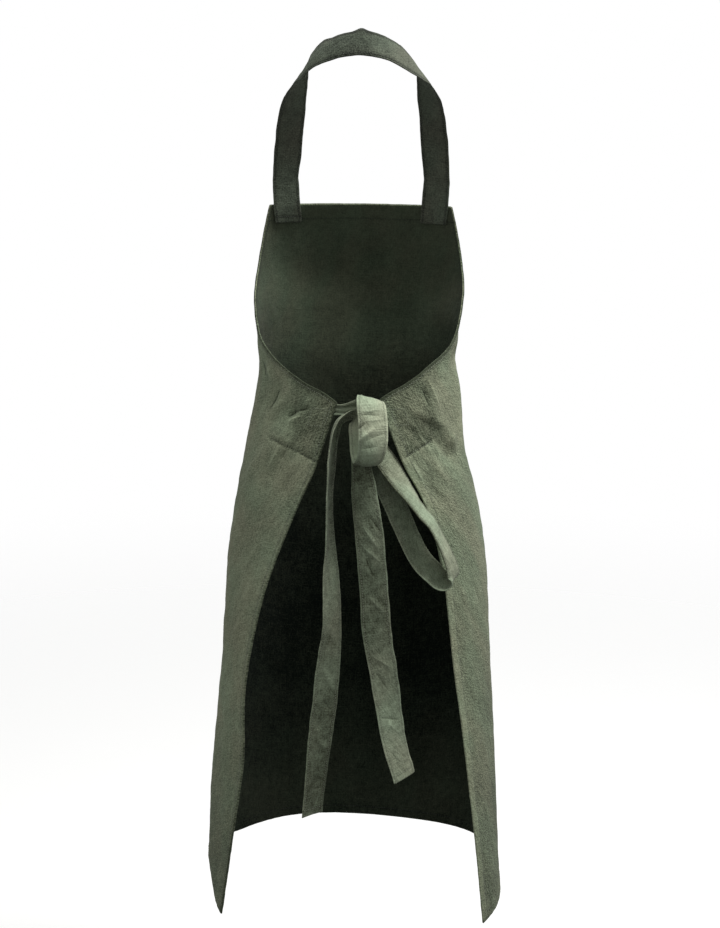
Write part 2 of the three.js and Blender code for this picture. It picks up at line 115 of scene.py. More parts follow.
class Wire:  # a socket that can be used in sums
    def __init__(self, paint, socket):
        self.paint, self.socket = paint, socket

    def sum(self, operation, first, second=0.0):
        return self.paint.node("ShaderNodeMath", {"operation": operation}, {0: first, 1: second})

    def __add__(self, other):
        return self.sum("ADD", self, other)

    def __sub__(self, other):
        return self.sum("SUBTRACT", self, other)

    def __rsub__(self, other):
        return self.sum("SUBTRACT", other, self)

    def __mul__(self, other):
        return self.sum("MULTIPLY", self, other)

    __radd__, __rmul__ = __add__, __mul__

    def __abs__(self):
        return self.sum("ABSOLUTE", self)

    def sine(self):
        return self.sum("SINE", self)

    def bell(self, middle, reach):  # 1 at the middle, fading within the reach
        away = self - middle
        return self.sum("EXPONENT", away * away * (-1 / reach ** 2))


class Paint:  # the nodes of one material, or of the sky
    def __init__(self, owner):
        owner.use_nodes = True
        self.owner, self.tree = owner, owner.node_tree
        self.shader = self.tree.nodes.get("Principled BSDF")

    def node(self, kind, settings, inputs, output=0):
        made = self.tree.nodes.new(kind)
        for key, value in settings.items():
            if key == "stops":
                for stop, (place, level) in zip(made.color_ramp.elements, value):
                    stop.position, stop.color = place, (level, level, level, 1)
            else:
                setattr(made, key, value)
        for key, value in inputs.items():
            if isinstance(value, Wire):
                self.tree.links.new(value.socket, made.inputs[key])
            else:
                made.inputs[key].default_value = value
        return Wire(self, made.outputs[output])

    def noise(self, source, size, detail=2.0, turn=0.0):  # size of the blotches along u and v
        inputs = {"Vector": source, "Rotation": (0, 0, math.radians(turn)), "Scale": (*size, 1)}
        placed = self.node("ShaderNodeMapping", {"vector_type": "TEXTURE"}, inputs)
        inputs = {"Vector": placed, "Scale": 1.0, "Detail": detail}
        return self.node("ShaderNodeTexNoise", {"noise_dimensions": "2D"}, inputs)

    def ramp(self, value, low, high):  # 0 up to low, 1 from high
        return self.node("ShaderNodeValToRGB", {"stops": [(low, 0.0), (high, 1.0)]}, {0: value})

    def mix(self, factor, first, second):
        return self.node("ShaderNodeMix", {"data_type": "RGBA"}, {0: factor, 6: first, 7: second}, 2)

    def feed(self, name, wire):
        self.tree.links.new(wire.socket, self.shader.inputs[name])

    def hold(self, values):  # the same all over the surface
        for name, value in values.items():
            self.shader.inputs[name].default_value = value


# finishes

linenLooks = {
    "panelOutside": {
        "deep": (0.050, 0.062, 0.036), "pale": (0.405, 0.455, 0.310), "shine": 0.15, "grain": 1.12},
    # the inside face is coloured as deep painted shade, far darker than the outside
    "panelInsideInShade": {
        "deep": (0.003, 0.007, 0.004), "pale": (0.101, 0.122, 0.080), "shine": 0.05, "grain": 0.6},
    "strapLinen": {
        "deep": (0.020, 0.024, 0.017), "pale": (0.165, 0.185, 0.138), "shine": 0.15, "grain": 1.0},
    "tieLinen": {
        "deep": (0.057, 0.066, 0.038), "pale": (0.500, 0.570, 0.412), "shine": 0.15, "grain": 0.55},
}
weave = {  # lengths in metres, across a feature and then along it
    "pitch": 0.0009,  # from thread to thread
    "thread": (0.0009, 0.016),
    "slub": (0.0018, 0.030),  # thick stretches of yarn
    "grain": (0.0021, 0.0021),
    "mottle": (0.008, 0.008),
    "wash": (0.075, 0.075),  # soft washed patches
    "crinkle": (0.0065, 0.036),  # fine pressed lines
    "crinkleTurn": 27,
    "greenPatch": (0.050, 0.090),
    "greenTurn": 20,
    "warmTint": (1.04, 0.99, 0.97),
    "greenTint": (0.94, 1.01, 0.97),
    "middleTone": 0.52,
    "paintedShadingTone": 0.34,  # how far the painted light and shade and the painted crease lines lighten or darken it
    "bump": 0.6,
    "bumpHeight": 0.0008,
    "roughness": 0.93,
    "sheen": 0.06,
    "sheenRoughness": 0.6,
}


def colour(rgb):
    return (*rgb, 1)


def makeLinen(name, look):
    p = Paint(bpy.data.materials.new(name))
    cloth = p.node("ShaderNodeUVMap", {"uv_map": "cloth"}, {})
    # painted light and shade carried on the meshes: paler ridges, edges and lit parts, darker grooves and
    # shaded parts
    painted = {"attribute_name": "paintedShading"}, {"attribute_name": "creaseAt"}, {"attribute_name": "creaseDepth"}
    paintedShading, fromCrease, depth = (p.node("ShaderNodeAttribute", settings, {}, 2) for settings in painted)
    crease = depth * (fromCrease.bell(0.0, 0.8) - 0.5 * fromCrease.bell(1.9, 1.3))  # painted crease shade: a dark line with a paler soft side, also used as the crease's bump
    warp = p.noise(cloth, weave["thread"], 1.0)  # threads down the cloth
    weft = p.noise(cloth, weave["thread"][::-1], 1.0)  # threads across it
    slubDown = p.ramp(p.noise(cloth, weave["slub"]), 0.58, 0.72)
    slubAcross = p.ramp(p.noise(cloth, weave["slub"][::-1]), 0.58, 0.72)
    slubs = slubDown + slubAcross
    grain = p.ramp(p.noise(cloth, weave["grain"], 1.0), 0.25, 0.75)
    mottle = p.ramp(p.noise(cloth, weave["mottle"]), 0.28, 0.72)
    wash = p.ramp(p.noise(cloth, weave["wash"], 3.0), 0.30, 0.70)
    streak = 1 - 5 * abs(p.noise(cloth, weave["crinkle"], 2.0, weave["crinkleTurn"]) - 0.5)
    across, down = (p.node("ShaderNodeSeparateXYZ", {}, {0: cloth}, output) for output in (0, 1))
    turnRate = 2 * math.pi / weave["pitch"]
    overUnder = (across * turnRate).sine() * (down * turnRate).sine()
    yarns = 0.30 * (warp - 0.5) + 0.30 * (weft - 0.5) + 0.42 * (grain - 0.5) + 0.14 * slubs
    patches = 0.14 * (mottle - 0.5) + 0.14 * (wash - 0.5) + 0.04 * streak + 0.02 * overUnder
    # the colour is darkened or lightened by the painted light and shade and the painted crease lines
    tone = weave["middleTone"] + look["grain"] * yarns + patches + weave["paintedShadingTone"] * (paintedShading + crease)
    greener = p.ramp(p.noise(cloth, weave["greenPatch"], 2.0, weave["greenTurn"]), 0.35, 0.65)
    tints = weave["warmTint"], weave["greenTint"]
    warm, green = (colour(np.multiply(look["pale"], tint).tolist()) for tint in tints)
    p.feed("Base Color", p.mix(tone, colour(look["deep"]), p.mix(greener, warm, green)))
    fibres = 0.35 * warp + 0.35 * weft + 0.60 * grain + 0.40 * slubs + 0.10 * overUnder
    height = look["grain"] * fibres + 0.5 * mottle + 0.55 * streak + crease
    relief = {"Strength": weave["bump"], "Distance": weave["bumpHeight"], "Height": height}
    p.feed("Normal", p.node("ShaderNodeBump", {}, relief))
    p.hold({"Roughness": weave["roughness"], "Specular IOR Level": look["shine"]})
    p.hold({"Sheen Weight": weave["sheen"], "Sheen Roughness": weave["sheenRoughness"]})
    return p.owner


threadLooks = {
    "sewingThread": {"deep": (0.150, 0.172, 0.125), "pale": (0.360, 0.390, 0.300)},
    "strapThread": {"deep": (0.040, 0.046, 0.034), "pale": (0.100, 0.112, 0.085)},
    # stitches on the inside, darkened to sit in the inside's painted shade
    "insideShadeThread": {"deep": (0.010, 0.014, 0.010), "pale": (0.030, 0.038, 0.027)},
}


def makeThread(name, look):
    p = Paint(bpy.data.materials.new(name))
    place = p.node("ShaderNodeTexCoord", {}, {}, 3)
    twist = p.node("ShaderNodeTexNoise", {}, {"Vector": place, "Scale": 900.0})
    p.feed("Base Color", p.mix(twist, colour(look["deep"]), colour(look["pale"])))
    p.hold({"Roughness": 0.7})
    return p.owner


linens = {name: makeLinen(name, look) for name, look in linenLooks.items()}
threads = {name: makeThread(name, look) for name, look in threadLooks.items()}
print("finishes made:", ", ".join([*linens, *threads]))


# cloth walls and seams

def addObject(name, data):
    made = bpy.data.objects.new(name, data)
    bpy.context.collection.objects.link(made)
    return made


def makeObject(name, points, faces, materials, picks=None):
    mesh = bpy.data.meshes.new(name)
    mesh.from_pydata((points * mm).tolist(), [], faces)
    for material in materials:
        mesh.materials.append(material)
    mesh.polygons.foreach_set("use_smooth", np.ones(len(faces), bool))
    if picks is not None:
        mesh.polygons.foreach_set("material_index", picks)
    mesh.update()
    made = addObject(name, mesh)
    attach(made, "root")
    return made


def makeWall(name, outer, inner, clothU, clothV, paintedShading, marks, materials):  # closed wall with a rounded rim
    rows, columns = outer.shape[:2]
    count = rows * columns
    index = np.arange(count).reshape(rows, columns)
    rim = np.concatenate([index[0, :-1], index[:-1, -1], index[-1, :0:-1], index[:0:-1, 0]])
    inward = np.concatenate([index[1, :-1], index[:-1, -2], index[-2, :0:-1], index[:0:-1, 1]])
    flatOuter, flatInner = outer.reshape(-1, 3), inner.reshape(-1, 3)
    middle = (flatOuter + flatInner) / 2
    half = np.linalg.norm(flatOuter - flatInner, axis=1)[rim, None] / 2
    lip = middle[rim] + unit(middle[rim] - middle[inward]) * half * 0.8
    a, b, c, d = index[:-1, :-1], index[:-1, 1:], index[1:, 1:], index[1:, :-1]
    front = np.stack([a, b, c, d], -1).reshape(-1, 4)
    lips = 2 * count + np.arange(len(rim))
    following, lipsNext = np.roll(rim, -1), np.roll(lips, -1)
    over = np.stack([rim, lips, lipsNext, following], 1)
    under = np.stack([lips, rim + count, following + count, lipsNext], 1)
    faces = np.concatenate([front, front[:, ::-1] + count, over, under])
    picks = np.zeros(len(faces), int)
    picks[len(front):2 * len(front)] = len(materials) - 1
    made = makeObject(name, np.concatenate([flatOuter, flatInner, lip]), faces.tolist(), materials, picks)

    def spread(outside, inside):  # a value for each point, the rim's from the outside
        return np.concatenate([outside.ravel(), inside.ravel(), outside.ravel()[rim]])

    uv = np.stack([spread(clothU, clothU), spread(clothV, clothV)], 1) * mm
    made.data.uv_layers.new(name="cloth").data.foreach_set("uv", uv[faces.ravel()].ravel())
    creaseAt, creaseDepth = marks
    painted = {"paintedShading": paintedShading, "creaseAt": (creaseAt, creaseAt), "creaseDepth": (creaseDepth, 0 * creaseDepth)}
    for label, faceValues in painted.items():
        attribute = made.data.attributes.new(label, "FLOAT", "POINT")
        attribute.data.foreach_set("value", spread(*faceValues))
    return made


stitch = {"pitch": 3.2, "length": 2.5, "radius": 0.34, "sides": 5, "sink": 0.30, "rise": 0.10}


def evenly(points, normals):  # centres, directions and normals of the stitches
    lengths, pitch = running(points, 0), stitch["pitch"]
    centres, reach = np.arange(pitch / 2, lengths[-1], pitch), pitch * 0.3
    ahead = between(np.minimum(centres + reach, lengths[-1]), lengths, points)
    behind = between(np.maximum(centres - reach, 0), lengths, points)
    return between(centres, lengths, points), unit(ahead - behind), unit(between(centres, lengths, normals))


def settle(line, surface, normals):  # a line laid on the nearest part of a surface
    points, ups = surface.reshape(-1, 3), normals.reshape(-1, 3)
    tree = treeOf(points)
    nearest = np.array([tree.find(p)[1] for p in line])
    up = ups[nearest]
    return line - up * np.sum((line - points[nearest]) * up, 1, keepdims=True), up


def makeStitches(name, seams, material):  # one joined mesh of sunk thread dashes
    sides, rise, sink = stitch["sides"], stitch["rise"], stitch["sink"]
    rings = [(-0.5, 0.5, -sink), (-0.25, 1.0, rise), (0.25, 1.0, rise), (0.5, 0.5, -sink)]
    turns = np.arange(sides) * 2 * math.pi / sides
    size = len(rings) * sides
    points, faces, pattern = [], [], []
    for r in range(0, size - sides, sides):
        around = [(r + s, r + (s + 1) % sides) for s in range(sides)]
        pattern += [(a, b, b + sides, a + sides) for a, b in around]
    pattern += [range(sides)[::-1], range(size - sides, size)]
    for line, normals in seams:
        centre, run, up = evenly(line, normals)
        aside = np.cross(up, run)
        circle = np.stack([aside * math.cos(t) + up * math.sin(t) for t in turns], 1)
        loops = []
        for place, swell, lift in rings:
            core = centre + run * place * stitch["length"] + up * lift
            loops.append(core[:, None] + circle * (stitch["radius"] * swell))
        for dash in np.stack(loops, 1).reshape(len(centre), -1, 3):
            faces += [tuple(len(points) * size + i for i in face) for face in pattern]
            points.append(dash)
    return makeObject(name, np.concatenate(points), faces, [material])


# apron panel

panel = {
    "thickness": 1.5,
    "frontRoundness": 2.1,  # 2 is an ellipse, more is squarer
    "girthStep": 150,  # cloth length for one unit of the round places
    "leftDrop": (0.9, 2.0),  # round places where the drop of the hem begins and ends
    "rightDrop": (0.1, 2.2),
    "skirtTop": -424,  # the side hems begin here, by the tie corners
    "skirtBlend": 14,
    "hemArm": 5.5,
    "hemLeft": 7.0,
    "hemRight": 11.5,
    "hemBottom": 13.0,
    "hemTop": 22.0,
    "hemLift": 1.0,
    "hemSeam": 1.8,  # from a hem's inner edge to its stitches
    "backY": 60,  # cloth with y below this is at the back
    "hemPucker": (0.55, 12),  # height, and reach from the edge
    "facingPucker": (0.5, 9),
    "facingGroove": (0.8, 1.8),
    "crumple": 0.85,  # height of the soft crumples
    "calm": (0.35, 4, 20),  # share of them at the hems, and where it grows
}
panelRumples = {  # sizes across and down, and a seed
    "hemPucker": (9, 9, 3.1),
    "facingPucker": (8, 14, 4.4),
    "soft": (38, 75, 0.3),
    "broad": (80, 150, 2.2),
    "crinkle": (11, 46, 7.7),
    "fine": (6, 18, 5.2),
    "drape": (26, 420, 8.8),
}
shadingMarks = {  # painted light and shade at edges, grooves, tips and creases, added to the panel's painted shading
    "rightStrip": 0.6,
    "rightEdge": 0.45,
    "leftEdge": -1.0,
    "armholeEdge": -2.2,
    "hemGroove": -0.6,
    "facingGroove": -1.1,
    "tips": -2.0,
    "edgeReach": 1.5,
    "armholeReach": 1.8,
    "tipReach": 5,
    "creases": 0.25,
    "crinkle": 0.28,
    "pucker": 0.3,
    "insideDrape": 0.2,
    "insideGroove": -0.45,
}
facingSeams = {  # where the corner facings are sewn down, x and z as seen from behind
    "left": [(-109, -480), (-78, -491), (-50, -503)],
    "right": [(57, -497), (70, -489), (91, -480)],
}
panelTable = readTable("z leftSide rightSide sideY frontY wrap leftX rightX backY "
                       "leftReach rightReach leftDrop rightDrop", [
    (-205, 150, 150, 80, 178, 78, 27, 26, -5, 0.55, 0.55, 0, 0),
    (-285, 140, 140, 88, 212, 78, 22, 21, -5, 0.76, 0.76, 0, 0),
    (-344, 130, 125, 90, 204, 78, 12, 10, -5, 1.05, 1.05, 0, 0),
    (-372, 128, 123, 90, 196, 78, 8, 5, -5, 1.29, 1.32, 0, 0),
    (-390, 126, 121, 90, 191, 78, 13, 11, -5, 1.48, 1.55, 0, 0),
    (-408, 126, 122, 89, 188, 78, 19, 17, -5, 1.71, 1.76, 0, 0),
    (-430, 129, 126, 88, 187, 78, 27, 26, -6, 2, 2.03, 0, 0),
    (-500, 142, 133, 86, 188, 70, 51, 54, -15, 2.6, 2.6, 6, 0),
    (-560, 154, 150, 84, 190, 62, 80, 85, -16, 2.6, 2.6, 14, 0),
    (-650, 166, 165, 82, 193, 50, 116, 108, -14, 2.6, 2.6, 24, 0),
    (-760, 173, 173, 80, 197, 40, 139, 122, -15, 2.6, 2.6, 32, 0),
    (-860, 180, 181, 80, 200, 34, 142, 138, -18, 2.6, 2.6, 34, 8),
    (-960, 187, 188, 80, 203, 28, 156, 153, -24, 2.6, 2.6, 36, 24),
    (-1060, 190, 194, 82, 206, 24, 170, 166, -30, 2.6, 2.6, 37, 47),
])
panelFolds = readTable("round0 z0 depth0 round1 z1 depth1 halfWidth", [
    (1.66, -440, 3, 1.42, -482, 5, 14),
    (1.66, -462, -2, 1.5, -498, -4, 12),
    (1.62, -407, 3, 1.58, -436, 2, 11),
    (1.12, -402, 3, 1.18, -520, 3, 16),
    (1.08, -384, -4, 1.1, -392, -3, 13),
    (-1.35, -440, -3, -1.5, -424, -3, 11),
    (-1.5, -456, -4, -1.66, -442, -3, 11),
    (-1.66, -476, 3, -1.4, -520, 4, 15),
    (1.6, -920, 0, 1.62, -1060, 5, 55),
    (-0.98, -760, 0, -0.98, -1060, 5, 45),
    (-0.62, -700, 0, -0.66, -1060, -7, 34),
    (-0.24, -640, 0, -0.22, -1060, 6, 36),
    (0.2, -700, 0, 0.22, -1060, -5, 32),
    (0.58, -640, 0, 0.62, -1060, 7, 38),
    (0.92, -760, 0, 0.94, -1060, -5, 34),
])
panelShading = readTable("z left right inside", [  # painted light and shade down the panel: paler above nought, darker below it; the inside is painted deep shade
    (-205, 0.2, 0, 0.7),
    (-300, 0.26, 0.06, 0.45),
    (-430, 0.16, 0, -0.3),
    (-540, 0.12, -0.32, -0.9),
    (-640, 0.16, 0, -1.2),
    (-760, 0.15, -0.2, -1.38),
    (-840, 0.1, -0.42, -1.36),
    (-930, -0.25, -0.6, -1),
    (-1010, -0.62, -0.8, -0.6),
    (-1040, -0.75, -0.85, -0.75),
    (-1060, -0.8, -0.9, -0.95),
])
facingShading = {"left": (-0.84, 20, 16), "right": (-0.70, -14, 18)}  # painted shade above the facing seams: level, start and blend at the outer side
creaseColumns = "x0 z0 x1 z1 depth halfWidth"  # as seen from behind
facingCrease = (-0.8, 1.6)  # depth and half width
backCreaseY = (80, 20)  # where the creases end, and over how far
backCreases = readTable(creaseColumns, [  # the facing seams, then small creases and folds
    *((*a, *b, *facingCrease) for seam in facingSeams.values() for a, b in zip(seam, seam[1:])),
    (-111, -449, -96, -419, -2.9, 2.2),
    (-88, -453, -75, -444, -2.9, 2.2),
    (-75, -444, -62, -439, -2.5, 2.2),
    (-87, -459, -72, -449, 2, 2.6),
    (-120, -390, -116, -410, -2.4, 2.6),
    (-113, -394, -109, -411, 1.9, 2.6),
    (-97, -488, -111, -518, 2.7, 2.2),
    (-89, -493, -97, -506, -1.7, 2.2),
    (-121, -526, -130, -570, 1.7, 6),
    (-84, -516, -96, -558, -1.7, 6),
    (78, -440, 114, -482, -3.2, 12),
    (58, -434, 108, -464, 2.6, 6.5),
    (41, -449, 104, -490, -2.6, 6.5),
    (84, -405, 98, -438, 2.2, 3),
    (76, -412, 88, -440, -2, 3),
    (123, -425, 129, -520, 2, 5),
    (73, -467, 89, -494, 1.9, 3),
    (91, -498, 110, -534, 2, 3.4),
    (84, -515, 102, -552, -1.7, 4.5),
    (66, -502, 82, -534, 1.7, 3.2),
])


def foldPush(rounds, z):
    push = np.zeros_like(rounds)
    girth = panel["girthStep"]
    for round0, z0, depth0, round1, z1, depth1, halfWidth in zip(*panelFolds.values()):
        t, away = nearSegment(rounds * girth, z, (round0 * girth, z0), (round1 * girth, z1))
        push += (depth0 + (depth1 - depth0) * t) * np.exp(-(away / halfWidth) ** 2)
    return push


def panelAt(rounds, places):  # middle surface of the panel
    s = along(panelTable, places)
    onLeft = rounds < 0
    size = np.abs(rounds)
    front = np.minimum(size, 1) * math.pi / 2
    behind = np.maximum(size - 1, 0)
    turn = np.radians(s["wrap"])
    edgeX = np.where(onLeft, s["leftX"], s["rightX"])
    sideX = np.where(onLeft, s["leftSide"], s["rightSide"])
    power = 2 / panel["frontRoundness"]
    x = sideX * np.sin(front) ** power
    x -= (sideX - edgeX) * (1 - np.cos(behind * turn)) / (1 - np.cos(turn))
    frontY = s["sideY"] + (s["frontY"] - s["sideY"]) * np.maximum(np.cos(front), 0) ** power
    backY = s["sideY"] - (s["sideY"] - s["backY"]) * np.sin(behind * turn) / np.sin(turn)
    y = np.where(behind > 0, backY, frontY)
    drops = []
    for name in ("leftDrop", "rightDrop"):
        start, end = panel[name]
        drops.append(s[name] * smooth((size - start) / (end - start)))
    drop = np.where(onLeft, *drops)
    x = np.where(onLeft, -x, x)
    outward = unit(np.stack([x, y - s["sideY"], 0 * x], -1))
    return np.stack([x, y, s["z"] - drop], -1) + outward * foldPush(rounds, s["z"])[..., None]


def panelPlaces():  # table places of the rows, closer at the hems and round the waist
    bands = [(-205, -229, 10), (-229, -335, 18), (-335, -550, 104), (-550, -1042, 82), (-1042, -1060, 10)]
    heights = [np.linspace(top, low, steps, endpoint=False) for top, low, steps in bands]
    heights = np.concatenate(heights + [bands[-1][1:2]])
    fine = np.linspace(0, len(panelTable["z"]) - 1, 3000)
    return np.interp(-heights, -along(panelTable, fine)["z"], fine)


def panelRounds(places, side, reach):  # columns from the centre front out to one edge
    hemColumns, hemReach, columns = 10, 14.0, 80
    shares = np.linspace(0, 1, 161)
    fine = side * reach[:, None] * shares
    lengths = running(panelAt(fine, places[:, None] + 0 * fine), 1)
    t = np.linspace(0, 1, columns + 1)
    rounds = []
    for row, length in zip(fine, lengths):
        inner = hemReach + (length[-1] - hemReach) * (0.46 * t + 0.54 * t ** 2)
        fromEdge = np.concatenate([np.linspace(0, hemReach, hemColumns, endpoint=False), inner])
        rounds.append(np.interp(length[-1] - fromEdge[::-1], length, row))
    return np.array(rounds)


def seamGroove(distance, width, reach):  # where a hem's stitches pull the cloth in
    return np.exp(-((distance - width + panel["hemSeam"]) / reach) ** 2)


def hemRelief(distance, width):  # folded hem with its sewn groove
    lift = smooth((width + 1.4 - distance) / 2.4)
    return panel["hemLift"] * (lift - 0.45 * seamGroove(distance, width, 1.0))


def creased(points, reachY):  # 1 on the cloth that carries the creases
    farthest, blend = reachY
    return smooth((farthest - points[..., 1]) / blend)


def creasePush(points, creases, reachY):  # relief of the creases, shallow at their ends
    push = np.zeros(points.shape[:-1])
    for x0, z0, x1, z1, depth, halfWidth in zip(*creases.values()):
        t, away = nearSegment(points[..., 0], points[..., 2], (x0, z0), (x1, z1))
        push += depth * np.sin(math.pi * (t * 0.9 + 0.05)) / (1 + (away / halfWidth) ** 2) ** 1.5
    return push * creased(points, reachY)


sharpCrease = {"halfWidth": 3.2, "ends": 0.15, "reach": 5, "blend": 1.5, "fullDepth": 2.4, "palest": 0.6}


def creaseMarks(points, creases, reachY):  # signed distance to the nearest sharp crease, and its depth, for the painted crease shade and its bump
    at, depths, best = np.zeros((3, *points.shape[:-1]))
    ends, within = sharpCrease["ends"], creased(points, reachY)
    for x0, z0, x1, z1, depth, halfWidth in zip(*creases.values()):
        if halfWidth > sharpCrease["halfWidth"]:
            continue
        run = np.array([x1 - x0, z1 - z0])
        length = np.hypot(*run)
        aside = np.array([run[1], -run[0]]) / length
        aside *= -np.sign(aside[1])
        fromStart = points[..., [0, 2]] - np.array([x0, z0])
        t = fromStart @ run / length ** 2
        away = fromStart @ aside
        held = smooth(t / ends) * smooth((1 - t) / ends) * within
        held *= smooth((sharpCrease["reach"] - np.abs(away)) / sharpCrease["blend"])
        nearer = held > best
        level = np.clip(depth / sharpCrease["fullDepth"], -1, sharpCrease["palest"])
        at = np.where(nearer, away, at)
        depths = np.where(nearer, held * level, depths)
        best = np.maximum(best, held)
    return at, depths


def isoLine(surface, normals, distance, value):  # along each row, where the distance is first reached
    line, up = [], []
    for row, normal, far in zip(surface, normals, distance):
        hits = np.nonzero((far[:-1] < value) & (far[1:] >= value))[0]
        if len(hits) == 0:
            continue
        i = hits[0]
        t = (value - far[i]) / (far[i + 1] - far[i])
        line.append(row[i] + t * (row[i + 1] - row[i]))
        up.append(normal[i])
    return np.array(line), np.array(up)


def facingLine(points, seam):  # a facing's seam on the middle surface
    corners = np.array(seam, float)
    x, z = between(np.linspace(0, len(corners) - 1, 60), np.arange(len(corners)), corners).T
    behind = points[points[..., 1] < panel["backY"]]
    tree = treeOf(behind * (1, 0, 1))
    y = [behind[tree.find((a, 0, b))[1]][1] for a, b in zip(x, z)]
    return np.stack([x, y, z], 1)


def facingShade(points):  # painted shade on the doubled cloth above the facing seams
    shade = np.zeros(points.shape[:-1])
    x, z = points[..., 0], points[..., 2]
    for side, sign in (("left", -1), ("right", 1)):
        level, start, blend = facingShading[side]
        seamX, seamZ = np.array(facingSeams[side], float).T
        above = smooth((z - np.interp(x, seamX, seamZ)) / 4)
        within = smooth((np.abs(seamX).max() - sign * x - start) / blend) * (sign * x > 0)
        shade += level * above * within * (points[..., 1] < panel["backY"])
    return shade


def panelGrid():  # middle surface, and lengths of cloth across and down it
    places = panelPlaces()
    reach = along(panelTable, places)
    left = panelRounds(places, -1, np.minimum(reach["leftReach"], 2))
    right = panelRounds(places, 1, np.minimum(reach["rightReach"], 2))
    rounds = np.concatenate([left[:, ::-1], right[:, 1:]], 1)
    middle = panelAt(rounds, places[:, None] + 0 * rounds)
    across = running(middle, 1)
    centre = left.shape[1] - 1
    return middle, across - across[:, centre:centre + 1], running(middle, 0)


def panelHems(middle, skirt):  # distance from each edge, and the hem's width there
    arm = panel["hemArm"]
    edges = {"left": middle[:, 0], "right": middle[:, -1], "bottom": middle[-1], "top": middle[0]}
    widths = {
        "left": arm + (panel["hemLeft"] - arm) * skirt,
        "right": arm + (panel["hemRight"] - arm) * skirt,
        "bottom": panel["hemBottom"],
        "top": panel["hemTop"],
    }
    return {name: (distanceTo(middle, line), widths[name]) for name, line in edges.items()}


def panelSeams(surface, up, hems, lines):  # stitch lines of the hems, then the other seams
    seams = []
    for name, (distance, width) in hems.items():
        grids = surface, up, distance - width
        if name in ("bottom", "top"):
            grids = [grid.swapaxes(0, 1) for grid in grids]
        if name in ("right", "bottom"):
            grids = [grid[:, ::-1] for grid in grids]
        seams.append(isoLine(*grids, -panel["hemSeam"]))
    return seams + [settle(line, surface, up) for line in lines]


def makePanel():
    middle, across, down = panelGrid()
    skirt = smooth((panel["skirtTop"] - middle[..., 2]) / panel["skirtBlend"])  # nought along the armholes
    hems = panelHems(middle, skirt)
    toLeft, (toRight, rightHem) = hems["left"][0], hems["right"]
    hem = np.maximum.reduce([hemRelief(distance, width) for distance, width in hems.values()])
    groove = np.maximum.reduce([seamGroove(distance, width, 1.1) for distance, width in hems.values()])
    toEdge = np.minimum.reduce([distance for distance, width in hems.values()])
    facings = [facingLine(middle, seam) for seam in facingSeams.values()]
    toFacing = np.minimum.reduce([distanceTo(middle, line) for line in facings])
    grooveDepth, grooveReach = panel["facingGroove"]
    facingGroove = np.exp(-(toFacing / grooveReach) ** 2)

    def rumpled(name, u=across, v=down):
        return rumple(u, v, *panelRumples[name])

    pucker = np.zeros_like(toEdge)
    for name, away in (("hemPucker", toEdge), ("facingPucker", toFacing)):
        puckerHeight, puckerReach = panel[name]
        pucker += puckerHeight * rumpled(name) * np.exp(-away / puckerReach)
    soft = rumpled("soft") + 0.4 * rumpled("broad")
    lean = np.where(middle[..., 0] < 0, -0.5, 0.5)  # the crinkles run down and outwards
    leaning = across + lean * down, down - lean * across
    crinkle, fine = rumpled("crinkle", *leaning), rumpled("fine", *leaning)
    atHem, calmFrom, calmBlend = panel["calm"]
    calm = atHem + (1 - atHem) * smooth((toEdge - calmFrom) / calmBlend)  # flatter near the hems
    creases = creasePush(middle, backCreases, backCreaseY)
    marks = creaseMarks(middle, backCreases, backCreaseY)
    push = creases + calm * panel["crumple"] * (1.3 * soft + 0.8 * crinkle + 0.4 * fine)
    push += pucker - grooveDepth * facingGroove
    middle = middle + gridNormals(middle) * push[..., None]
    half = gridNormals(middle) * (panel["thickness"] / 2 + 0.5 * hem)[..., None]
    outer, inner = middle + half, middle - half

    onRight = smooth((middle[..., 0] + 60) / 120)  # from the left side's painted shading to the right's
    heights = -middle[..., 2], -panelShading["z"]
    left, right, inside = (np.interp(*heights, panelShading[name]) for name in ("left", "right", "inside"))
    # painted light and shade: along the height, a painted highlight on the right hem's turned edge, painted
    # shade at the left and armhole edges, in seam grooves and at the tips, and light and shade with the
    # creases and crinkles
    paintedShading = left + (right - left) * onRight + facingShade(middle)
    paintedShading += shadingMarks["rightStrip"] * skirt * smooth((rightHem - toRight) / shadingMarks["edgeReach"])
    for name, away in (("rightEdge", toRight), ("leftEdge", toLeft)):
        paintedShading += shadingMarks[name] * skirt * np.exp(-away / shadingMarks["edgeReach"])
    paintedShading += shadingMarks["armholeEdge"] * (1 - skirt) * np.exp(-toEdge / shadingMarks["armholeReach"])
    paintedShading += shadingMarks["hemGroove"] * groove + shadingMarks["facingGroove"] * facingGroove
    for tip in (middle[-1, :2], middle[-1, -2:]):
        paintedShading += shadingMarks["tips"] * np.exp(-distanceTo(middle, tip) / shadingMarks["tipReach"])
    paintedShading += shadingMarks["creases"] * creases + shadingMarks["pucker"] * pucker
    paintedShading += shadingMarks["crinkle"] * calm * (0.7 * crinkle + 0.6 * fine)
    # the inside's painted deep shade, with soft drape and groove shading
    paintedShadingInside = inside + shadingMarks["insideDrape"] * rumpled("drape") + shadingMarks["insideGroove"] * groove
    looks = [linens["panelOutside"], linens["panelInsideInShade"]]
    made = makeWall("linen_panel", outer, inner, across, down, (paintedShading, paintedShadingInside), marks, looks)
    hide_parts("apron_panel")

    lines = facings + [strapBox(side) for side in (-1, 1)] + [tieBox(side) for side in (-1, 1)]
    sides = [("panel_stitches", outer, gridNormals(outer), "sewingThread"),
             ("panel_stitches_inside", inner, -gridNormals(inner), "insideShadeThread")]
    for name, surface, up, thread in sides:
        stitches = makeStitches(name, panelSeams(surface, up, hems, lines), threads[thread])
    print("panel made:", outer.shape[0], "rows of", outer.shape[1])


# neck strap and ties

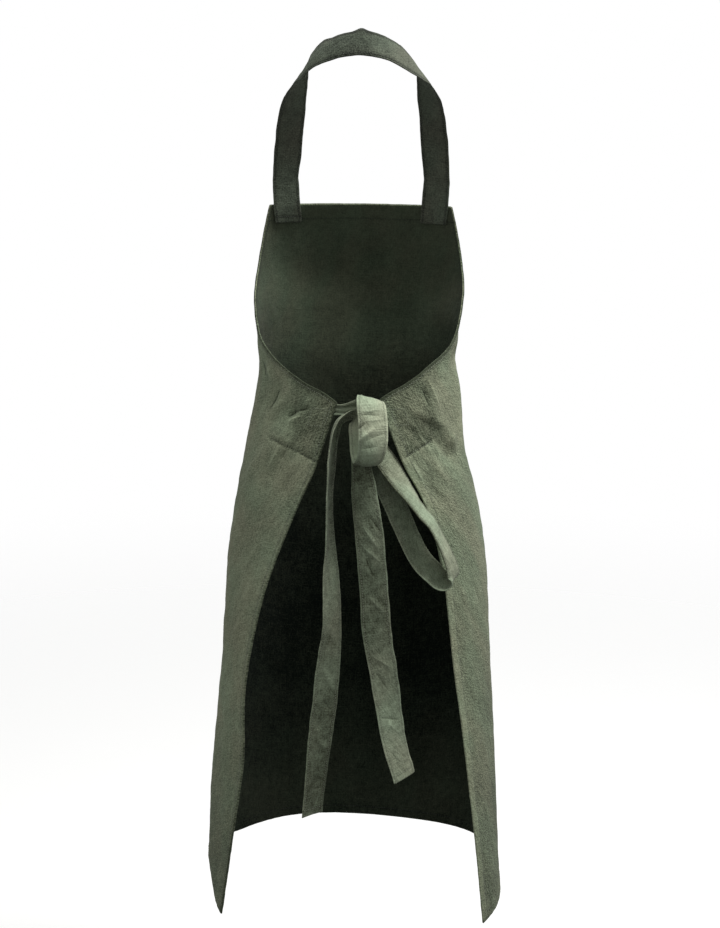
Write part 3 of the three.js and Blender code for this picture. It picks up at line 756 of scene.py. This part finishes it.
band = {
    "thickness": 1.7,
    "width": 35,
    "step": 1.7,  # from row to row of the mesh
    "columns": 18,
    "tableSteps": 24,  # curve points from row to row of a table
    "sewnRows": 8,
    "edgeSeam": 3.0,
    "endHem": 8,
    "sway": 0.9,  # how far the edges wander
    "pleats": 1.7,  # height where the band is gathered
    "wave": 0.7,
    "wrinkle": 0.35,
    "pucker": 0.3,
    "puckerReach": 5,
    "seamReach": 1.1,
    "seamDepth": 0.3,
    "rimReach": 1.5,
    "creaseMark": 0.6,
}
bandRumples = {  # sizes across and along, and a part of the seed
    "lowSway": (21, 1, 13),
    "highSway": (27, 1, 17),
    "wave": (28, 34, 0),
    "wrinkle": (30, 8, 4),
    "crumple": (9, 11, 6),
    "pucker": (7, 6, 9),
}
tiePiece = {
    "slot": "tie_linen", "linen": "tieLinen", "thread": "sewingThread",
    "held": "hung", "hangsFrom": ["linen_panel"], "seamShade": 0.6}
bandPieces = {
    "linen_strap": {
        "node": "neck_strap", "slot": "strap_linen", "linen": "strapLinen", "thread": "strapThread",
        "held": "hung", "hangsFrom": ["neck_strap"], "seamShade": 1.4, "seed": 2.5},
    "linen_tie_left": {"node": "tie_left", "seed": 11.5, **tiePiece},
    "linen_tie_right": {"node": "tie_right", "seed": 23.5, **tiePiece},
}
strapSeam = {"gap": 1.35, "innerRound": 0.34, "outerRound": 0.53, "top": 0.04, "end": 0.34}
tieSeam = {"gap": 2.7, "corner": 6, "below": 0.05, "leaves": 1.985, "ends": 1.825, "gathered": 0.4}
bandColumns = "x y z acrossX acrossY acrossZ width crown"
strapRows = readTable(bandColumns, [
    (96, 147, -172, -0.9, 0.42, 0.05, 35, 0),
    (91, 128, -122, -0.95, 0.26, 0.12, 35, 0),
    (84, 93, -74, -0.86, 0.42, 0.26, 35, 0),
    (76, 66, -46, -0.5, 0.78, 0.36, 35, 1),
    (67, 48, -34, -0.12, 0.93, 0.34, 35, 1.5),
    (58, 36, -26, -0.06, 0.84, 0.54, 35, 1.5),
    (46, 21, -17, -0.03, 0.72, 0.69, 35, 1),
    (30, 9, -8, -0.02, 0.6, 0.8, 35, 1),
    (14, 2, -3, 0, 0.52, 0.85, 35, 1),
    (-1, 0, -1, 0, 0.5, 0.87, 35, 1),
    (-14, 2, -2.5, 0, 0.52, 0.85, 35, 1),
    (-30, 8, -6, 0.02, 0.58, 0.82, 35, 1),
    (-47, 21, -13, 0.03, 0.66, 0.75, 35, 1),
    (-60, 36, -23, 0.08, 0.8, 0.6, 35, 1.5),
    (-68, 49, -34, 0.14, 0.93, 0.34, 35, 1.5),
    (-76, 66, -47, 0.5, 0.78, 0.36, 35, 1),
    (-84, 93, -74, 0.86, 0.42, 0.26, 35, 0),
    (-91, 128, -122, 0.95, 0.26, 0.12, 35, 0),
    (-96, 147, -172, 0.9, 0.42, 0.05, 35, 0),
])
leftTieRows = readTable(bandColumns, [
    (-18, -10, -438, 0.1, 0.1, 1, 14, 2),
    (-9, -13, -435, -0.2, 0.1, 0.95, 14, 3),
    (3, -14, -432, -0.7, 0, 0.7, 19, 3),
    (12, -16, -427, -0.98, 0, 0.25, 28, 2),
    (14, -23, -422, -0.97, 0, 0.26, 33, 1),
    (15, -33, -428, -0.97, 0, 0.24, 35, 1),
    (17, -42, -445, -0.99, 0, 0.14, 35, 1.5),
    (18, -47, -463, -1, 0.05, 0.08, 35, 3),
    (16.5, -47, -481, -1, 0.05, 0.02, 34, 5),
    (13.5, -41, -494, -1, 0, 0, 32, 5),
    (10.5, -31, -498, -1, 0, 0, 31, 5),
    (7, -24, -491, -1, 0, 0, 31, 2),
    (5, -21.5, -480, -1, 0, 0.04, 31, 0),
    (3, -20, -458, -1, 0, 0.06, 30, 0),
    (0, -19.5, -446, -0.94, 0, -0.3, 22, 1),
    (-7, -19, -443, -0.3, 0.4, -0.85, 15, 3),
    (-15, -21, -446, 0.05, 0.8, -0.6, 19, 4),
    (-22.5, -23, -452, 0.15, 0.9, -0.4, 24, 4),
    (-27, -24, -464, 0.28, 0.94, -0.15, 28, 4),
    (-30, -25, -480, 0.29, 0.96, 0, 31, 3),
    (-32, -27, -508, 0.25, 0.96, 0, 34, 3),
    (-34, -32, -547, 0.2, 0.98, 0, 35, 2.5),
    (-33, -39, -595, 0.28, 0.96, 0, 35, 2),
    (-32, -43, -640, 0.53, 0.85, 0, 35, 2),
    (-30, -45, -696, 0.65, 0.76, 0, 35, 2),
    (-34, -45, -748, 0.81, 0.58, 0, 35, 1.5),
    (-39, -44, -805, 0.88, 0.47, 0, 35, 1),
    (-47, -43, -880, 0.79, 0.61, 0, 35, 1),
    (-54, -42, -954, 0.7, 0.71, 0.15, 35, 1),
])
rightTieRows = readTable(bandColumns, [
    (19, -8, -441, -0.2, 0, 0.97, 18, 0),
    (12, -9.5, -458, -0.9, 0, 0.4, 20, 1),
    (18, -10.2, -477, -0.9, -0.1, -0.3, 22, 1),
    (32, -17, -497, -0.66, -0.6, -0.45, 29, 3),
    (47, -25, -518, -0.46, -0.8, -0.36, 33, 3),
    (63, -32, -539, -0.3, -0.93, -0.22, 35, 2),
    (78, -35, -559, -0.22, -0.96, -0.16, 35, 1),
    (91, -36.5, -574, -0.2, -0.965, -0.15, 35, 1),
    (101, -37, -592, -0.22, -0.96, -0.14, 35, 1),
    (110, -37, -611, -0.28, -0.94, -0.16, 35, 1),
    (118, -37.5, -634, -0.38, -0.89, -0.24, 35, 1),
    (117, -38, -644, -0.42, -0.86, -0.28, 35, 1),
    (106, -38, -646, -0.44, -0.83, -0.34, 35, 1),
    (93, -36, -635, -0.5, -0.77, -0.4, 35, 1),
    (79, -32, -621, -0.54, -0.73, -0.42, 35, 1.5),
    (66, -27, -598, -0.55, -0.72, -0.42, 35, 2),
    (52, -20, -568, -0.6, -0.68, -0.42, 34, 2),
    (38, -13.5, -537, -0.7, -0.58, -0.42, 32, 2),
    (25, -8, -508, -0.88, -0.3, -0.36, 27, 2),
    (12, -5, -478, -0.97, 0, -0.22, 23, 2),
    (4, -5, -458, -1, 0, -0.08, 18, 2),
    (2, -9.5, -452, -1, 0, 0, 17, 2),
    (1, -13, -459, -1, 0, 0.08, 18, 2),
    (3, -15.6, -480, -1, 0, 0, 22, 1.2),
    (5, -19.5, -508, -0.97, 0.25, 0, 25, 2.5),
    (9, -27, -547, -0.9, 0.42, 0, 35, 3),
    (16, -38, -601, -0.98, 0.2, 0, 35, 2.5),
    (22, -43, -670, -1, 0, 0, 35, 1.5),
    (25, -44, -710, -1, -0.05, 0, 35, 1),
    (35, -44, -769, -0.95, -0.28, -0.12, 35, 1),
    (43, -43, -822, -0.84, -0.48, -0.2, 35, 1),
    (51, -42, -862, -0.76, -0.58, -0.28, 35, 1),
    (62, -41, -903, -0.62, -0.62, -0.48, 35, 1),
])
shadingColumns = "row fade rim"  # painted light and shade at rows of the band tables, and rim light or shade added at the edges
strapShading = readTable(shadingColumns, [
    (0, 0.2, -0.4), (4, 0.3, -0.8), (6, 0.35, -0.8), (8, -0.55, -0.8), (9, -0.8, -0.8), (10, -0.7, -0.8),
    (12, 0.3, -0.8), (14, 0.45, -0.8), (18, 0.2, -0.4)])
leftTieShading = readTable(shadingColumns, [
    (0, -0.3, -0.4), (2, -0.3, -0.4), (3.6, -0.3, 0.2), (4.2, 0.2, 0.4), (5, 0.35, 0.5), (6.5, 0.4, 0.6),
    (7.2, 0.45, 0.6), (7.8, 0.3, 0.5), (8.4, 0.1, 0.3), (9.2, -0.5, 0.2), (10, -0.9, 0.1), (11, 1.1, 0.3),
    (13, 1.2, 0.4), (14, -0.3, 0.3), (15, -0.8, 0.3), (16, -0.8, 0.3), (18, -0.9, 0.6), (20, -1.1, 0.7),
    (22, -1.15, 0.6), (23.5, -0.75, 0.4), (25, -0.75, 0.4), (26, -1, 0.4), (27.4, -1.3, 0.5),
    (28, -1.1, 0.6)])
rightTieShading = readTable(shadingColumns, [
    (0, -0.9, 0), (2, -0.9, -0.2), (3, -0.6, -0.9), (4.5, -0.2, -1.7), (9, -0.1, -1.7), (10.5, -0.3, -0.3),
    (12, -0.5, 0.4), (16, -0.45, 0.1), (19, -0.8, 0.1), (22, -1.1, 0.4), (24.2, -1.35, 0.9),
    (25.4, -0.72, 0.8), (26.6, -0.9, 0.8), (27.7, -1.15, 0.8), (29, -0.45, 0.5), (30, -0.2, 0.6),
    (32, -0.25, 0.7)])
bowCreaseY = (-24, 4)
bowCreases = readTable(creaseColumns, [  # on the short loop, then on the tails
    (-3, -471, 20, -451, 2.6, 3),
    (-9, -463, 9, -447, -2.4, 3.1),
    (2, -434, 29, -432, 1.1, 1.8),
    (3, -438, 26, -439, -1.2, 1.8),
    (7, -445, 33, -442, 0.9, 2),
    (12, -466, 34, -458, -1.2, 2.6),
    (-3, -486, 31, -482, 0.7, 3),
    (4, -478, 24, -474, -1.2, 3),
    (6, -576, 25, -603, 1.6, 2.4),
    (15, -566, 33, -590, -1.4, 2.4),
    (8, -603, 29, -621, 1.4, 2.4),
    (10, -616, 21, -640, -1.2, 2.4),
    (14, -664, 34, -684, 1, 2.6),
    (20, -740, 45, -757, 1.3, 2.4),
    (24, -760, 40, -786, -1, 2.4),
    (31, -820, 55, -827, -1.1, 2.4),
    (39, -825, 52, -841, 1.2, 2.4),
    (35, -845, 46, -825, 1.4, 2.2),
    (44, -865, 54, -881, -1.1, 2.2),
    (-41, -655, -27, -668, 1, 2.4),
    (-38, -712, -24, -735, -1, 2.6),
    (-38, -762, -27, -790, 1.3, 2.4),
    (-42, -799, -31, -815, -1.2, 2.4),
    (-47, -853, -34, -868, 1.2, 2.6),
    (-52, -900, -40, -912, -1, 2.6),
])


def sewnPoints(rounds, places, gap):  # lying on the inside of the panel
    step = 0.01
    across = panelAt(rounds + step, places) - panelAt(rounds - step, places)
    downward = panelAt(rounds, places + step) - panelAt(rounds, places - step)
    inset = panel["thickness"] / 2 + gap + band["thickness"] / 2
    return panelAt(rounds, places) - unit(np.cross(across, downward)) * inset


def bandPlaces(rows):  # table places of the lines of a band
    last = len(rows["x"]) - 1
    return np.linspace(0, last, last * band["tableSteps"] + 1)


def bandLines(rows):  # lower edge, middle and upper edge of a band
    row = along(rows, bandPlaces(rows))
    centre = np.stack([row["x"], row["y"], row["z"]], 1)
    run = unit(np.gradient(centre, axis=0))
    across = np.stack([row["acrossX"], row["acrossY"], row["acrossZ"]], 1)
    across = unit(across - run * np.sum(across * run, 1, keepdims=True)) * row["width"][:, None] / 2
    raised = centre + unit(np.cross(across, run)) * row["crown"][:, None]
    return np.stack([centre - across, raised, centre + across], 1)


def tieEnd(side):  # sewn end inside an upper back corner, gathered where it leaves
    corner = tieSeam["corner"]
    share = band["width"] / (panelTable["z"][corner] - panelTable["z"][corner + 1])
    top = corner + tieSeam["below"]
    spans = share * np.linspace(1, tieSeam["gathered"], band["sewnRows"])
    places = top + spans[:, None] * np.linspace(1, 0, 3)
    rounds = np.linspace(tieSeam["ends"], tieSeam["leaves"], band["sewnRows"])[:, None] + 0 * places
    return sewnPoints(side * rounds, places, tieSeam["gap"])


def strapEnd(side):  # sewn end inside a top corner of the bib
    rounds, places = np.meshgrid(np.linspace(strapSeam["outerRound"], strapSeam["innerRound"], 3),
                                 np.linspace(strapSeam["end"], strapSeam["top"], band["sewnRows"]))
    return sewnPoints(side * rounds, places, strapSeam["gap"])


def boxLine(rounds, places, side):  # a closed line of stitches on the panel
    (near, far), (top, low) = rounds, places
    corners = np.array([(near, top), (far, top), (far, low), (near, low), (near, top)])
    r, p = between(np.linspace(0, 4, 81), np.arange(5), corners).T
    return panelAt(side * r, p)


def strapBox(side):  # the seam that holds a strap end
    rounds = strapSeam["innerRound"] + 0.02, strapSeam["outerRound"] - 0.02
    return boxLine(rounds, (0.10, strapSeam["end"] - 0.02), side)


def tieBox(side):  # the seam that holds a tie
    top = tieSeam["corner"] + tieSeam["below"]
    return boxLine((tieSeam["ends"] + 0.01, tieSeam["leaves"] - 0.04), (top + 0.10, top + 0.38), side)


def shadingLines(rows, table, sewnEnds):  # painted shading and rim shading of each line of a band
    places = np.pad(bandPlaces(rows), (band["sewnRows"], (sewnEnds - 1) * band["sewnRows"]), "edge")
    return [np.interp(places, table["row"], table[name]) for name in ("fade", "rim")]


def makeBand(name, lines, shadings):
    piece = bandPieces[name]
    node, slot, held, hangsFrom, seed = (piece[key] for key in ("node", "slot", "held", "hangsFrom", "seed"))

    def rumpled(label, u, v):
        across, down, more = bandRumples[label]
        return rumple(u, v, across, down, seed + more)

    lengths = running(lines[:, 1], 0)
    even = np.linspace(0, lengths[-1], int(lengths[-1] / band["step"]) + 1)
    low, mid, high = (between(even, lengths, lines[:, k]) for k in range(3))
    free = smooth((even - 60) / 40)  # the sewn end stays straight
    for edge, label in ((low, "lowSway"), (high, "highSway")):
        sway = band["sway"] * rumpled(label, even, 0 * even) * free
        edge += unit(edge - mid) * sway[:, None]
    q = np.linspace(-1, 1, band["columns"] + 1)
    q = np.sign(q) * (1 - (1 - np.abs(q)) ** 1.25)  # closer at the edges
    t = q[None, :, None]
    points = mid[:, None] * (1 - t ** 2) + low[:, None] * (t ** 2 - t) / 2 + high[:, None] * (t ** 2 + t) / 2
    width = np.linalg.norm(high - low, axis=1)
    clothU = q[None, :] * band["width"] / 2 + 0 * even[:, None]
    clothV = even[:, None] + 0 * q[None, :]
    fromEdge = (1 - np.abs(q))[None, :] * width[:, None] / 2
    fromEnd = (lengths[-1] - even)[:, None] + 0 * fromEdge

    gather = np.clip(1 - width / band["width"], 0, 1)[:, None]
    pleats = band["pleats"] * gather * np.sin(math.pi * (2.1 * q[None, :] + 0.4 + 0.03 * even[:, None]))
    wave = band["wave"] * rumpled("wave", clothU, clothV)
    wrinkle = rumpled("wrinkle", clothU + 0.5 * clothV, clothV - 0.5 * clothU)
    wrinkle += 0.7 * rumpled("crumple", clothU, clothV)
    pucker = band["pucker"] * rumpled("pucker", clothU, clothV) * np.exp(-fromEdge / band["puckerReach"])
    creases = creasePush(points, bowCreases, bowCreaseY)
    creaseAt, creaseDepth = creaseMarks(points, bowCreases, bowCreaseY)
    push = pleats + wave + band["wrinkle"] * wrinkle + pucker
    points = points + gridNormals(points) * push[..., None]
    points[..., 1] -= creases
    toSeam = np.minimum(np.abs(fromEdge - band["edgeSeam"]), np.abs(fromEnd - band["endHem"]))
    groove = np.exp(-(toSeam / band["seamReach"]) ** 2)
    half = band["thickness"] / 2 * (0.6 + 0.4 * smooth(fromEdge / 1.6)) - band["seamDepth"] * groove
    half = gridNormals(points) * half[..., None]
    outer, inner = points + half, points - half

    # painted light and shade: shading along the band, lit or dark rims, seam grooves, wrinkles and creases
    fade, rim = (np.interp(even, lengths, values)[:, None] for values in shadings)
    atRim = np.exp(-np.minimum(fromEdge, fromEnd) / band["rimReach"])
    paintedShading = fade + rim * atRim - piece["seamShade"] * groove
    paintedShading += 0.25 * wrinkle + 0.5 * pucker + 0.3 * creases
    marks = creaseAt, band["creaseMark"] * creaseDepth
    made = makeWall(name, outer, inner, clothU, clothV, (paintedShading, paintedShading), marks, [linens[piece["linen"]]])
    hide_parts(node)

    seams = []
    endRow = int(np.argmin(np.abs(fromEnd[:, 0] - band["endHem"])))
    for surface, up in ((outer, gridNormals(outer)), (inner, -gridNormals(inner))):
        for part in (slice(None), slice(None, None, -1)):
            seams.append(isoLine(surface[:, part], up[:, part], fromEdge[:, part], band["edgeSeam"]))
        seams.append((surface[endRow, 2:-2], up[endRow, 2:-2]))
    sewn = makeStitches(name.replace("linen_", "") + "_stitches", seams, threads[piece["thread"]])
    print(name, "made:", round(float(lengths[-1])), "mm long")


pinch = {"x": -1, "peak": 2.6, "peakReach": 6, "dip": 2.3, "dipReach": 48, "dipBlend": 15}
strapLines = np.concatenate([strapEnd(1), bandLines(strapRows), strapEnd(-1)[::-1]])
fromPinch = np.abs(strapLines[:, 2, 0] - pinch["x"])
strapLines[:, 2, 2] += pinch["peak"] * np.exp(-(fromPinch / pinch["peakReach"]) ** 2)
strapLines[:, 2, 2] -= pinch["dip"] * smooth((pinch["dipReach"] - fromPinch) / pinch["dipBlend"])
makeBand("linen_strap", strapLines, shadingLines(strapRows, strapShading, 2))
makePanel()
for name, side, rows, shadings in (("linen_tie_left", -1, leftTieRows, leftTieShading),
                                ("linen_tie_right", 1, rightTieRows, rightTieShading)):
    makeBand(name, np.concatenate([tieEnd(side), bandLines(rows)]), shadingLines(rows, shadings, 1))


# floor, light and camera

studio = {  # metres
    "floorZ": -1.40,
    "floorSize": 16.0,
    "floorTone": (0.93, 0.93, 0.92),
    "floorGlow": 0.22,
    "floorFades": (0.6, 3.4),
    "skyTone": (1.0, 1.0, 1.0),
    "fillBelow": 0.07,
    "fillAbove": 0.56,
    "keyPlace": (0.95, -0.15, 1.95),
    "keyAim": (0.0, 0.0, -0.5),
    "keySize": 1.0,
    "keyPower": 71.0,
}
view = {"distance": 2.2, "sideways": 0.0023, "pitch": 13.0, "roll": 0.6, "lens": 71.1}


def makeFloor():
    bpy.ops.mesh.primitive_plane_add(size=studio["floorSize"], location=(0, 0, studio["floorZ"]))
    floor = bpy.context.object
    floor.name = "floor"
    p = Paint(bpy.data.materials.new("paleFloor"))
    place = p.node("ShaderNodeTexCoord", {}, {}, 3)
    near, far = studio["floorFades"]
    away = p.node("ShaderNodeVectorMath", {"operation": "LENGTH"}, {0: place}, 1)
    fading = {0: away, 1: near, 2: far, 3: 1.0, 4: 0.0}
    p.feed("Alpha", p.node("ShaderNodeMapRange", {"interpolation_type": "SMOOTHSTEP"}, fading))
    p.hold({"Base Color": colour(studio["floorTone"]), "Roughness": 0.9, "Specular IOR Level": 0.0})
    p.hold({"Emission Color": colour(studio["floorTone"]), "Emission Strength": studio["floorGlow"]})
    floor.data.materials.append(p.owner)
    floor.visible_diffuse = False  # no light thrown up under the cloth


def makeSky():  # plain white to look at, softer as a light
    p = Paint(bpy.data.worlds.new("studioSky"))
    tone = colour(studio["skyTone"])
    seen = p.node("ShaderNodeBackground", {}, {"Color": tone, "Strength": 1.0})
    direction = p.node("ShaderNodeTexCoord", {}, {}, 0)
    height = p.node("ShaderNodeSeparateXYZ", {}, {0: direction}, 2)
    rising = {0: height, 1: -1.0, 2: 1.0, 3: studio["fillBelow"], 4: studio["fillAbove"]}
    fill = p.node("ShaderNodeMapRange", {}, rising)
    lit = p.node("ShaderNodeBackground", {}, {"Color": tone, "Strength": fill})
    looking = p.node("ShaderNodeLightPath", {}, {}, 0)
    both = p.node("ShaderNodeMixShader", {}, {0: looking, 1: lit, 2: seen})
    p.tree.links.new(both.socket, p.tree.nodes["World Output"].inputs["Surface"])
    bpy.context.scene.world = p.owner


def makeKey():
    lamp = bpy.data.lights.new("softKey", "AREA")
    lamp.size = studio["keySize"]
    lamp.energy = studio["keyPower"]
    key = addObject("softKey", lamp)
    key.location = studio["keyPlace"]
    aim = Vector(studio["keyAim"]) - Vector(studio["keyPlace"])
    key.rotation_euler = aim.to_track_quat("-Z", "Y").to_euler()


def makeCamera():
    data = bpy.data.cameras.new("camera")
    data.lens = view["lens"]
    camera = addObject("camera", data)
    place = Matrix.Translation((view["sideways"], -view["distance"], 0))
    tilt = Matrix.Rotation(math.radians(90 - view["pitch"]), 4, "X")
    roll = Matrix.Rotation(math.radians(view["roll"]), 4, "Z")
    camera.matrix_world = place @ tilt @ roll
    bpy.context.scene.camera = camera


makeFloor()
makeSky()
makeKey()
makeCamera()
bpy.context.scene.view_settings.view_transform = "Standard"
print("studio made")
